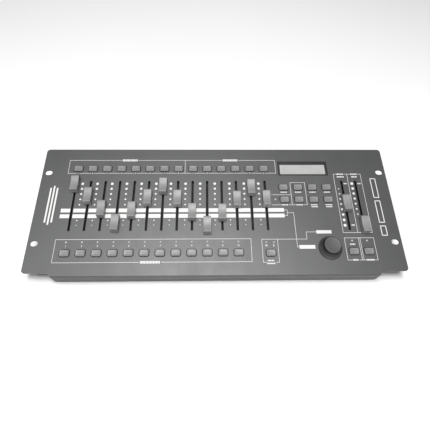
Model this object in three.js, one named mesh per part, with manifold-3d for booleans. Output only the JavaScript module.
// A lighting control desk for a 19 inch rack or a table top: a tilted sheet-metal panel with rows of
// buttons, fourteen channel faders, two time faders, a character display and a data wheel, over a
// wedge-shaped chassis.
// Millimetres, +X to the operator's right, +Y away from the operator, +Z up, origin under the middle
// of the desk.
import * as THREE from "three";
import { mergeVertices } from "three/addons/utils/BufferGeometryUtils.js";
import Module from "manifold-3d";

// ---- Driving dimensions ---------------------------------------------------------------------------------

// The panel's own frame: u to the right of its middle, v up the slope from the ears' front edges, and
// n out of its face.
const TILT = THREE.MathUtils.degToRad(14);
const PANEL_WIDTH = 482.6;
const PANEL_DEPTH = 177;
const PANEL_SHEET = 1.5;
const PANEL_CORNER = 4.5;
const GAP = 0.3;

// Between the ears the face runs on past their front edges, then folds down into the skirt.
const FACE_REACH = 3;
const BEND_RADIUS = 1.8;
const SKIRT_FACE = -FACE_REACH - BEND_RADIUS;
const SKIRT_WIDTH = 410;
const SKIRT_DROP = 22;
const SKIRT_CORNER = 4.5;
const EAR_CURVE = { length: 10, tangent: 5 };

// How far joined solids run into each other, and how far a cutting solid runs past what it cuts.
const JOIN = 0.2;
const OVERRUN = 1;

const RACK_SLOT = { u: 232.5, v: [37.7, 139.3], length: 10, width: 7 };

const BASE_SHEET = 1.2;
const FOOT_HEIGHT = 4;
const FOOT_RADIUS = 10;
const FOOT_INSET = { side: 24, front: 32, rear: 20 };
const REAR_WALL = 160;
const TRAY_FLANGE = { width: 3.5, start: 36 };

const PITCH = 20;
const FIRST_U = -192;
const CAP = { width: 12.2, depth: 8.7, chamfer: 1.6, rise: 2.2 };
const CAP_CLEARANCE = 0.8;
const KEY_FLANGE = { overlap: 1, thickness: 0.8, top: -1.9 };
const STEM = { side: 3.6, bottom: -8.8 };
const TIME_U = [176, 195.5];
const BUTTON_ROWS = [
  { name: "scene_button", count: 8, u: FIRST_U, v: 145.1, pitch: PITCH },
  { name: "chase_button", count: 6, u: FIRST_U + 8 * PITCH, v: 145.1, pitch: PITCH },
  { name: "fixture_button", count: 12, u: FIRST_U, v: 24.8, pitch: PITCH },
  { name: "page_button", count: 1, u: 69, v: 24, pitch: PITCH },
  { name: "upper_function_button", count: 4, u: 93.5, v: 115.9, pitch: PITCH },
  { name: "lower_function_button", count: 4, u: 93.5, v: 97.5, pitch: PITCH },
  { name: "mode_button", count: 2, u: TIME_U[0], v: 25.4, pitch: TIME_U[1] - TIME_U[0] },
];

const SLOT = { width: 3.2, length: 72, middle: 90.2 };
const FADER_CAP = { width: 10, length: 22.5, height: 11.2, lift: 0.9, dish: 1.8, lip: 1.4 };
const LEVER = { width: 1.2, length: 5, bottom: -6.2 };
const CHANNEL_RESTS = [120, 102.2, 83, 63.5, 81.2, 99, 116.5, 98, 78.5, 60, 77.7, 96.3, 114, 97.2];
const TIME_FADERS = [
  { name: "speed_fader", u: TIME_U[0], rest: 90.6 },
  { name: "fade_fader", u: TIME_U[1], rest: 60 },
];

const LAMP_RADIUS = 1.6;
const LAMPS = [
  ...Array.from({ length: 12 }, (_, i) => [FIRST_U + i * PITCH, 39]),
  [64, 38],
  [74, 38],
  [81, 98],
  [195.5, 39.5],
];

const WHEEL = { u: 146, v: 29.8, height: 15, lift: 0.8 };
const WHEEL_SKIRT = { radius: 15.1, rim: 1.4, slopeInset: 1.2, slopeRise: 1 };
const WHEEL_GRIP = { foot: 11.6, footRise: 3, top: 11, bevel: 1 };
const SHAFT_RADIUS = 3;
const SHAFT_HOLE_RADIUS = 4;

const WINDOW = { u: [88.5, 159], v: [134.5, 157] };
const SCREEN = { u: [91, 156.5], v: [137.5, 154] };
const DISPLAY_FACE = { front: -0.5, glass: -1.8 };
const DISPLAY_BOARD = { marginU: 5, marginV: 4, top: -7, thickness: 1.6 };

const BOARD = { u: 202.5, v: [8, 156], top: -13.5, thickness: 1.6 };
const POT = { width: 8.6, length: 84, top: -6.5 };
const SWITCH = { side: 6, top: -9.9 };
const ENCODER = { side: 12, top: -5.6 };
const POSTS = { u: [-198.5, 80, 198.5], v: [12, 153.8], radius: 1.8, top: -1.9 };

const IO_Z = 28;
const IO_BOARD = { x: [-14, 196], z: [11.5, 44.5], back: 16, thickness: 1.6 };
const FLANGE_OUT = 1.6;
const XLR = { x: 12, barrel: 11.8, flange: [26, 31], nose: 10.6, noseOut: 3, groove: [9.4, 7.8], deep: 8 };
const DIN = { x: 60, barrel: 8, nose: 8.6, groove: [7.1, 5.9], deep: 6 };
const PHONO = { x: [98, 112], barrel: 4.8, collar: 1, nose: 4.1, reach: 8.5, hole: 1.7, deep: 7 };
const POWER = { x: 146, barrel: 5.6, nose: 4.6, hole: 2.9, deep: 8 };
const ROCKER = { x: 178, bezel: [15, 21], body: [13, 19], pocket: [11.8, 17.4], deep: 10, pivot: -0.5 };
const ROCKER_TILT = THREE.MathUtils.degToRad(10);
const ROCKER_KEY = { width: 11, halfLength: 7.6, ends: 3.6, middle: 2.4, shoulder: 0.8 };
const ROCKER_KEEL = { half: 3, bottom: -4 };

// The footprint runs from the front of the bend to the lower corner of the panel's rear edge.
const BEND_FRONT = FACE_REACH * Math.cos(TILT) + BEND_RADIUS * (1 - Math.sin(TILT));
const FOOTPRINT = BEND_FRONT + PANEL_DEPTH * Math.cos(TILT) + PANEL_SHEET * Math.sin(TILT);
const FRONT_Y = BEND_FRONT - FOOTPRINT / 2;
const FRONT_Z = FOOT_HEIGHT + SKIRT_DROP * Math.cos(TILT);
const REAR_Y = FRONT_Y + REAR_WALL;

// ---- Solids and booleans --------------------------------------------------------------------------------

const wasm = await Module();
wasm.setup();

function solid(geometry) {
  const bare = new THREE.BufferGeometry();
  bare.setAttribute("position", geometry.getAttribute("position"));
  bare.setIndex(geometry.index);
  const merged = mergeVertices(bare, 1e-4);
  return new wasm.Manifold(
    new wasm.Mesh({
      numProp: 3,
      vertProperties: merged.attributes.position.array,
      triVerts: wholeTriangles(merged.index.array),
    }),
  );
}

// Merging the vertices at an arc's start collapses a triangle or two, which have to go.
function wholeTriangles(index) {
  const kept = [];
  for (let i = 0; i < index.length; i += 3) {
    const corners = [index[i], index[i + 1], index[i + 2]];
    if (new Set(corners).size === 3) kept.push(...corners);
  }
  return new Uint32Array(kept);
}

function geometryOf(body) {
  const mesh = body.getMesh();
  const geometry = new THREE.BufferGeometry();
  geometry.setAttribute("position", new THREE.BufferAttribute(mesh.vertProperties, 3));
  geometry.setIndex(new THREE.BufferAttribute(mesh.triVerts, 1));
  const faceted = geometry.toNonIndexed();
  faceted.computeVertexNormals();
  return faceted;
}

function join(geometries) {
  return geometries.map(solid).reduce((whole, piece) => whole.add(piece));
}

function cut(body, geometries) {
  return geometries.map(solid).reduce((rest, tool) => rest.subtract(tool), body);
}

// ---- Outlines and simple shapes -------------------------------------------------------------------------

function box([x0, x1], [y0, y1], [z0, z1]) {
  const geometry = new THREE.BoxGeometry(x1 - x0, y1 - y0, z1 - z0);
  return geometry.translate((x0 + x1) / 2, (y0 + y1) / 2, (z0 + z1) / 2);
}

function around(middle, size) {
  return [middle - size / 2, middle + size / 2];
}

function outline(points) {
  return points.map(([x, y]) => new THREE.Vector2(x, y));
}

function rectangle([x0, x1], [y0, y1]) {
  return outline([
    [x0, y0],
    [x1, y0],
    [x1, y1],
    [x0, y1],
  ]);
}

function chamfered(x, y, width, depth, chamfer) {
  const [w, d] = [width / 2, depth / 2];
  return outline([
    [x - w + chamfer, y - d],
    [x + w - chamfer, y - d],
    [x + w, y - d + chamfer],
    [x + w, y + d - chamfer],
    [x + w - chamfer, y + d],
    [x - w + chamfer, y + d],
    [x - w, y + d - chamfer],
    [x - w, y - d + chamfer],
  ]);
}

function ring(x, y, radius, sides) {
  return Array.from({ length: sides }, (_, i) => {
    const angle = ((i + 0.5) / sides) * 2 * Math.PI;
    return new THREE.Vector2(x + radius * Math.cos(angle), y + radius * Math.sin(angle));
  });
}

function roundEnded(x, y, length, width, sides) {
  const reach = (length - width) / 2;
  return Array.from({ length: 2 * sides }, (_, i) => {
    const end = i < sides ? 1 : -1;
    const angle = -Math.PI / 2 + (Math.PI * (i % sides)) / (sides - 1);
    return new THREE.Vector2(
      x + end * (reach + (width / 2) * Math.cos(angle)),
      y + end * (width / 2) * Math.sin(angle),
    );
  });
}

function prism(shape, [low, high], curveSegments = 6) {
  const geometry = new THREE.ExtrudeGeometry(shape, {
    depth: high - low,
    bevelEnabled: false,
    curveSegments,
  });
  return geometry.translate(0, 0, low);
}

// A shape drawn in Y and Z, carried along X.
const ALONG_X = new THREE.Matrix4().makeBasis(
  new THREE.Vector3(0, 1, 0),
  new THREE.Vector3(0, 0, 1),
  new THREE.Vector3(1, 0, 0),
);

function alongX(shape, [x0, x1], curveSegments = 6) {
  const geometry = new THREE.ExtrudeGeometry(shape, {
    depth: x1 - x0,
    bevelEnabled: false,
    curveSegments,
  });
  return geometry.applyMatrix4(ALONG_X).translate(x0, 0, 0);
}

// A round bar along Y, from y0 to y1.
function barY(x, z, radius, [y0, y1], sides = 24) {
  return new THREE.CylinderGeometry(radius, radius, y1 - y0, sides).translate(x, (y0 + y1) / 2, z);
}

function barZ(x, y, radius, [z0, z1], sides = 24) {
  const geometry = new THREE.CylinderGeometry(radius, radius, z1 - z0, sides);
  return geometry.rotateX(Math.PI / 2).translate(x, y, (z0 + z1) / 2);
}

// A ring-shaped groove that leaves the core standing.
function grooveY(x, z, [outer, inner], [y0, y1]) {
  const core = solid(barY(x, z, inner, [y0 - OVERRUN, y1 + OVERRUN]));
  return solid(barY(x, z, outer, [y0, y1])).subtract(core);
}

// ---- Scene graph ----------------------------------------------------------------------------------------

const desk = new THREE.Group();
const deck = new THREE.Group();
deck.rotation.x = TILT;
deck.position.set(0, FRONT_Y, FRONT_Z);
desk.add(deck);

const FINISHES = {
  panelPaint: [0x74777a, 0.5, 0.35],
  chassisPaint: [0x303236, 0.55, 0.35],
  buttonPlastic: [0xa9aaa8, 0.5, 0],
  faderPlastic: [0xb9bab8, 0.45, 0],
  wheelPlastic: [0x2a2b2d, 0.5, 0],
  rockerPlastic: [0x161618, 0.35, 0],
  boardLaminate: [0x1d4a33, 0.5, 0],
  displayPlastic: [0x23262a, 0.4, 0],
  connectorMetal: [0x8d8f92, 0.35, 0.8],
};

function place(parent, name, geometry, finish, position = [0, 0, 0]) {
  const [color, roughness, metalness] = FINISHES[finish];
  const material = new THREE.MeshStandardMaterial({ color, roughness, metalness });
  const mesh = new THREE.Mesh(geometry, material);
  mesh.name = name;
  mesh.position.set(...position);
  parent.add(mesh);
  return mesh;
}

// Every button with its name and its middle on the panel.
const buttons = BUTTON_ROWS.flatMap((row) =>
  Array.from({ length: row.count }, (_, i) => ({
    name: row.count > 1 ? `${row.name}_${i + 1}` : row.name,
    u: row.u + i * row.pitch,
    v: row.v,
  })),
);

const faders = [
  ...CHANNEL_RESTS.map((rest, i) => ({ name: `channel_fader_${i + 1}`, u: FIRST_U + i * PITCH, rest })),
  ...TIME_FADERS,
];

// ---- Panel: the face sheet, with every cut-out, and its front edge folded down --------------------------

// Between each ear and the skirt, the edge sweeps forward in a curve.
function panelOutline() {
  const half = PANEL_WIDTH / 2;
  const corner = PANEL_CORNER;
  const skirtEnd = SKIRT_WIDTH / 2;
  const earEnd = skirtEnd + EAR_CURVE.length;
  const bendOfCurve = skirtEnd + EAR_CURVE.tangent;
  const shape = new THREE.Shape();
  shape.moveTo(-half + corner, 0);
  shape.lineTo(-earEnd, 0);
  shape.quadraticCurveTo(-bendOfCurve, 0, -skirtEnd, -FACE_REACH);
  shape.lineTo(skirtEnd, -FACE_REACH);
  shape.quadraticCurveTo(bendOfCurve, 0, earEnd, 0);
  shape.lineTo(half - corner, 0);
  shape.absarc(half - corner, corner, corner, -Math.PI / 2, 0, false);
  shape.absarc(half - corner, PANEL_DEPTH - corner, corner, 0, Math.PI / 2, false);
  shape.absarc(-half + corner, PANEL_DEPTH - corner, corner, Math.PI / 2, Math.PI, false);
  shape.absarc(-half + corner, corner, corner, Math.PI, 1.5 * Math.PI, false);
  return shape;
}

function foldedEdge() {
  const inside = SKIRT_FACE + PANEL_SHEET;
  const joined = JOIN - FACE_REACH;
  const shape = new THREE.Shape();
  shape.moveTo(joined, 0);
  shape.lineTo(-FACE_REACH, 0);
  shape.absarc(-FACE_REACH, -BEND_RADIUS, BEND_RADIUS, Math.PI / 2, Math.PI, false);
  shape.lineTo(SKIRT_FACE, -SKIRT_DROP);
  shape.lineTo(inside, -SKIRT_DROP);
  shape.lineTo(inside, -BEND_RADIUS);
  shape.absarc(-FACE_REACH, -BEND_RADIUS, BEND_RADIUS - PANEL_SHEET, Math.PI, Math.PI / 2, true);
  shape.lineTo(joined, -PANEL_SHEET);
  return alongX(shape, [-SKIRT_WIDTH / 2, SKIRT_WIDTH / 2], 5);
}

// The skirt's front view, with its two lower corners rounded.
function skirtFront() {
  const half = SKIRT_WIDTH / 2;
  const middle = SKIRT_CORNER - SKIRT_DROP;
  const shape = new THREE.Shape();
  shape.moveTo(-half, OVERRUN);
  shape.lineTo(-half, middle);
  shape.absarc(SKIRT_CORNER - half, middle, SKIRT_CORNER, Math.PI, 1.5 * Math.PI, false);
  shape.absarc(half - SKIRT_CORNER, middle, SKIRT_CORNER, 1.5 * Math.PI, 2 * Math.PI, false);
  shape.lineTo(half, OVERRUN);
  return prism(shape, [-OVERRUN, OVERRUN - SKIRT_FACE]).rotateX(Math.PI / 2);
}

function panelHoles() {
  const clear = 2 * CAP_CLEARANCE;
  const keyHoles = buttons.map(({ u, v }) =>
    chamfered(u, v, CAP.width + clear, CAP.depth + clear, CAP.chamfer + CAP_CLEARANCE / 2),
  );
  const slots = faders.map(({ u }) => rectangle(around(u, SLOT.width), around(SLOT.middle, SLOT.length)));
  const rackSlots = [-1, 1].flatMap((side) =>
    RACK_SLOT.v.map((v) => roundEnded(side * RACK_SLOT.u, v, RACK_SLOT.length, RACK_SLOT.width, 5)),
  );
  const lampHoles = LAMPS.map(([u, v]) => ring(u, v, LAMP_RADIUS, 6));
  const shaftHole = ring(WHEEL.u, WHEEL.v, SHAFT_HOLE_RADIUS, 12);
  const windowHole = rectangle(WINDOW.u, WINDOW.v);
  return [...keyHoles, ...slots, ...rackSlots, ...lampHoles, shaftHole, windowHole];
}

function topPanel() {
  const sheet = solid(prism(panelOutline(), [-PANEL_SHEET, 0], 5));
  const skirt = solid(foldedEdge()).intersect(solid(skirtFront()));
  const through = [-PANEL_SHEET - OVERRUN, OVERRUN];
  const punches = panelHoles().map((points) => prism(new THREE.Shape(points), through));
  return geometryOf(cut(sheet.add(skirt), punches));
}

place(deck, "top_panel", topPanel(), "panelPaint");

// ---- Buttons: a cap through the panel, a flange that keeps it in, and a stem onto its switch ------------

function buttonKey() {
  const face = new THREE.Shape(chamfered(0, 0, CAP.width, CAP.depth, CAP.chamfer));
  const cap = prism(face, [KEY_FLANGE.top - JOIN, CAP.rise]);
  const spread = 2 * (CAP_CLEARANCE + KEY_FLANGE.overlap);
  const flangeSpan = [KEY_FLANGE.top - KEY_FLANGE.thickness, KEY_FLANGE.top];
  const flange = box(around(0, CAP.width + spread), around(0, CAP.depth + spread), flangeSpan);
  const stem = box(around(0, STEM.side), around(0, STEM.side), [STEM.bottom, flangeSpan[0] + JOIN]);
  return geometryOf(join([cap, flange, stem]));
}

const keyGeometry = buttonKey();
for (const { name, u, v } of buttons) place(deck, name, keyGeometry, "buttonPlastic", [u, v, 0]);

// ---- Faders: a dished cap on a flat lever, which reaches down through its slot into the slide pot -------

function faderProfile() {
  const half = FADER_CAP.length / 2;
  const shoulder = half - FADER_CAP.lip;
  const lowSide = FADER_CAP.height - FADER_CAP.lip;
  const shape = new THREE.Shape();
  shape.moveTo(-half, FADER_CAP.lift);
  shape.lineTo(half, FADER_CAP.lift);
  shape.lineTo(half - FADER_CAP.lip / 2, lowSide);
  shape.lineTo(shoulder - FADER_CAP.lip / 2, FADER_CAP.height);
  const sag = FADER_CAP.height - 2 * FADER_CAP.dish;
  shape.quadraticCurveTo(0, sag, FADER_CAP.lip / 2 - shoulder, FADER_CAP.height);
  shape.lineTo(FADER_CAP.lip / 2 - half, lowSide);
  return shape;
}

function faderKnob() {
  const cap = alongX(faderProfile(), around(0, FADER_CAP.width), 8);
  const lever = box(around(0, LEVER.width), around(0, LEVER.length), [LEVER.bottom, FADER_CAP.lift + JOIN]);
  return geometryOf(join([cap, lever]));
}

const faderGeometry = faderKnob();
for (const { name, u, rest } of faders) place(deck, name, faderGeometry, "faderPlastic", [u, rest, 0]);

// ---- Data wheel: a turned knob with a skirt, in one with the shaft it turns -----------------------------

function dataWheel() {
  const { height, lift } = WHEEL;
  const { radius, rim, slopeInset, slopeRise } = WHEEL_SKIRT;
  const { foot, footRise, top, bevel } = WHEEL_GRIP;
  const shaftEnd = ENCODER.top + GAP;
  const profile = outline([
    [0, shaftEnd],
    [SHAFT_RADIUS, shaftEnd],
    [SHAFT_RADIUS, lift],
    [radius, lift],
    [radius, lift + rim],
    [radius - slopeInset, lift + rim + slopeRise],
    [foot, lift + footRise],
    [top, height - bevel],
    [top - bevel, height],
    [0, height],
  ]);
  return new THREE.LatheGeometry(profile, 32).rotateX(Math.PI / 2);
}

place(deck, "data_wheel", dataWheel(), "wheelPlastic", [WHEEL.u, WHEEL.v, 0]);

// ---- Display module: a framed character display on its own small board, behind the window ---------------

function displayModule() {
  const frame = box(
    [WINDOW.u[0] + GAP, WINDOW.u[1] - GAP],
    [WINDOW.v[0] + GAP, WINDOW.v[1] - GAP],
    [DISPLAY_BOARD.top - JOIN, DISPLAY_FACE.front],
  );
  const board = box(
    [WINDOW.u[0] - DISPLAY_BOARD.marginU, WINDOW.u[1] + DISPLAY_BOARD.marginU],
    [WINDOW.v[0] - DISPLAY_BOARD.marginV, WINDOW.v[1] + DISPLAY_BOARD.marginV],
    [DISPLAY_BOARD.top - DISPLAY_BOARD.thickness, DISPLAY_BOARD.top],
  );
  const recess = box(SCREEN.u, SCREEN.v, [DISPLAY_FACE.glass, OVERRUN]);
  return geometryOf(cut(join([frame, board]), [recess]));
}

place(deck, "display_module", displayModule(), "displayPlastic");

// ---- Control board: slide pots, push switches, encoder and posts soldered to one long board -------------

function controlBoard() {
  const up = BOARD.top - JOIN;
  const plate = box([-BOARD.u, BOARD.u], BOARD.v, [BOARD.top - BOARD.thickness, BOARD.top]);
  const pots = faders.map(({ u }) =>
    box(around(u, POT.width), around(SLOT.middle, POT.length), [up, POT.top]),
  );
  const switches = buttons.map(({ u, v }) =>
    box(around(u, SWITCH.side), around(v, SWITCH.side), [up, SWITCH.top]),
  );
  const encoder = box(around(WHEEL.u, ENCODER.side), around(WHEEL.v, ENCODER.side), [up, ENCODER.top]);
  const posts = POSTS.u.flatMap((u) => POSTS.v.map((v) => barZ(u, v, POSTS.radius, [up, POSTS.top], 6)));
  return geometryOf(join([plate, ...pots, ...switches, encoder, ...posts]));
}

place(deck, "control_board", controlBoard(), "boardLaminate");

// ---- Chassis: base, two side walls and rear wall folded from one sheet, with flanges and four feet ------

// A point of the panel's frame in the desk's Y and Z.
function deckPoint(v, n) {
  return [
    FRONT_Y + v * Math.cos(TILT) - n * Math.sin(TILT),
    FRONT_Z + v * Math.sin(TILT) + n * Math.cos(TILT),
  ];
}

// Where the line at height n under the panel, or at distance v behind its edge, meets a given Y or Z.
function slopeAt(y, n) {
  return deckPoint((y - FRONT_Y + n * Math.sin(TILT)) / Math.cos(TILT), n);
}

function skirtAt(v, z) {
  return deckPoint(v, (z - FRONT_Z - v * Math.sin(TILT)) / Math.cos(TILT));
}

function sideFlange(side) {
  const under = -PANEL_SHEET - GAP;
  const outer = SKIRT_WIDTH / 2 - BASE_SHEET / 2;
  const span = side > 0 ? [outer - TRAY_FLANGE.width, outer] : [-outer, TRAY_FLANGE.width - outer];
  const end = slopeAt(REAR_Y - BASE_SHEET / 2, under);
  const foot = slopeAt(REAR_Y - BASE_SHEET / 2, under - BASE_SHEET);
  const { start } = TRAY_FLANGE;
  const points = [deckPoint(start, under), end, foot, deckPoint(start, under - BASE_SHEET)];
  return alongX(new THREE.Shape(outline(points)), span);
}

function rearHoles() {
  const through = [REAR_Y - BASE_SHEET - OVERRUN, REAR_Y + OVERRUN];
  const [bodyWidth, bodyHeight] = ROCKER.body;
  return [
    barY(XLR.x, IO_Z, XLR.barrel + GAP, through),
    barY(DIN.x, IO_Z, DIN.barrel + GAP, through),
    ...PHONO.x.map((x) => barY(x, IO_Z, PHONO.barrel + GAP, through)),
    barY(POWER.x, IO_Z, POWER.barrel + GAP, through),
    box(around(ROCKER.x, bodyWidth + 2 * GAP), through, around(IO_Z, bodyHeight + 2 * GAP)),
  ];
}

function chassisTray() {
  const half = SKIRT_WIDTH / 2;
  const under = -PANEL_SHEET - GAP;
  const behindSkirt = SKIRT_FACE + PANEL_SHEET + GAP;
  const side = outline([
    skirtAt(behindSkirt, FOOT_HEIGHT),
    [REAR_Y, FOOT_HEIGHT],
    slopeAt(REAR_Y, under),
    deckPoint(behindSkirt + BEND_RADIUS, under),
    deckPoint(behindSkirt, under - BEND_RADIUS),
  ]);
  const shell = solid(alongX(new THREE.Shape(side), [-half, half]));
  const inside = box(
    [BASE_SHEET - half, half - BASE_SHEET],
    [2 * FRONT_Y, REAR_Y - BASE_SHEET],
    [FOOT_HEIGHT + BASE_SHEET, 4 * FRONT_Z],
  );
  const feet = [-1, 1].flatMap((sign) =>
    [FRONT_Y + FOOT_INSET.front, REAR_Y - FOOT_INSET.rear].map((y) =>
      barZ(sign * (half - FOOT_INSET.side), y, FOOT_RADIUS, [0, FOOT_HEIGHT + JOIN], 20),
    ),
  );
  const tray = cut(shell.subtract(solid(inside)), rearHoles());
  return geometryOf(tray.add(join([...feet, sideFlange(-1), sideFlange(1)])));
}

place(desk, "chassis_tray", chassisTray(), "chassisPaint");

// ---- Rear board: the sockets that show through the rear wall, on a board of their own -------------------

function xlrSocket(out, front) {
  const [width, height] = XLR.flange;
  const face = out + XLR.noseOut;
  const body = join([
    barY(XLR.x, IO_Z, XLR.barrel, [front, out + JOIN]),
    box(around(XLR.x, width), [out, out + FLANGE_OUT], around(IO_Z, height)),
    barY(XLR.x, IO_Z, XLR.nose, [out, face]),
  ]);
  return body.subtract(grooveY(XLR.x, IO_Z, XLR.groove, [face - XLR.deep, face + OVERRUN]));
}

function dinSocket(out, front) {
  const face = out + FLANGE_OUT;
  const body = join([
    barY(DIN.x, IO_Z, DIN.barrel, [front, out + JOIN]),
    barY(DIN.x, IO_Z, DIN.nose, [out, face]),
  ]);
  return body.subtract(grooveY(DIN.x, IO_Z, DIN.groove, [face - DIN.deep, face + OVERRUN]));
}

function phonoJack(x, out, front) {
  const face = out + PHONO.reach;
  const body = join([
    barY(x, IO_Z, PHONO.barrel, [front, out + PHONO.collar], 16),
    barY(x, IO_Z, PHONO.nose, [out, face], 16),
  ]);
  return cut(body, [barY(x, IO_Z, PHONO.hole, [face - PHONO.deep, face + OVERRUN], 10)]);
}

function powerJack(out, front) {
  const face = out + FLANGE_OUT;
  const body = join([
    barY(POWER.x, IO_Z, POWER.barrel, [front, out], 16),
    barY(POWER.x, IO_Z, POWER.nose, [out - JOIN, face], 16),
  ]);
  return cut(body, [barY(POWER.x, IO_Z, POWER.hole, [face - POWER.deep, face + OVERRUN], 12)]);
}

function rockerHousing(out, front) {
  const [bezelWidth, bezelHeight] = ROCKER.bezel;
  const [bodyWidth, bodyHeight] = ROCKER.body;
  const [pocketWidth, pocketHeight] = ROCKER.pocket;
  const face = out + FLANGE_OUT;
  const body = join([
    box(around(ROCKER.x, bodyWidth), [front, out + JOIN], around(IO_Z, bodyHeight)),
    box(around(ROCKER.x, bezelWidth), [out, face], around(IO_Z, bezelHeight)),
  ]);
  const pocket = box(
    around(ROCKER.x, pocketWidth),
    [face - ROCKER.deep, face + OVERRUN],
    around(IO_Z, pocketHeight),
  );
  return cut(body, [pocket]);
}

function rearBoard() {
  const out = REAR_Y + GAP;
  const boardFace = REAR_Y - IO_BOARD.back + IO_BOARD.thickness;
  const front = boardFace - JOIN;
  const plate = solid(box(IO_BOARD.x, [REAR_Y - IO_BOARD.back, boardFace], IO_BOARD.z));
  const sockets = [
    xlrSocket(out, front),
    dinSocket(out, front),
    ...PHONO.x.map((x) => phonoJack(x, out, front)),
    powerJack(out, front),
    rockerHousing(out, front),
  ];
  return geometryOf(sockets.reduce((whole, socket) => whole.add(socket), plate));
}

place(desk, "rear_io_board", rearBoard(), "connectorMetal");

// ---- Power rocker: a two-position key, resting tipped one way in its housing ----------------------------

function rockerKey() {
  const { width, halfLength, ends, middle, shoulder } = ROCKER_KEY;
  const points = [
    [ends, -halfLength],
    [middle, 0],
    [ends, halfLength],
    [shoulder, halfLength],
    [ROCKER_KEEL.bottom, ROCKER_KEEL.half],
    [ROCKER_KEEL.bottom, -ROCKER_KEEL.half],
    [shoulder, -halfLength],
  ];
  return alongX(new THREE.Shape(outline(points)), around(0, width));
}

const rockerPivot = [ROCKER.x, REAR_Y + ROCKER.pivot, IO_Z];
const rocker = place(desk, "power_rocker", rockerKey(), "rockerPlastic", rockerPivot);
rocker.rotation.x = -ROCKER_TILT;

export default desk;
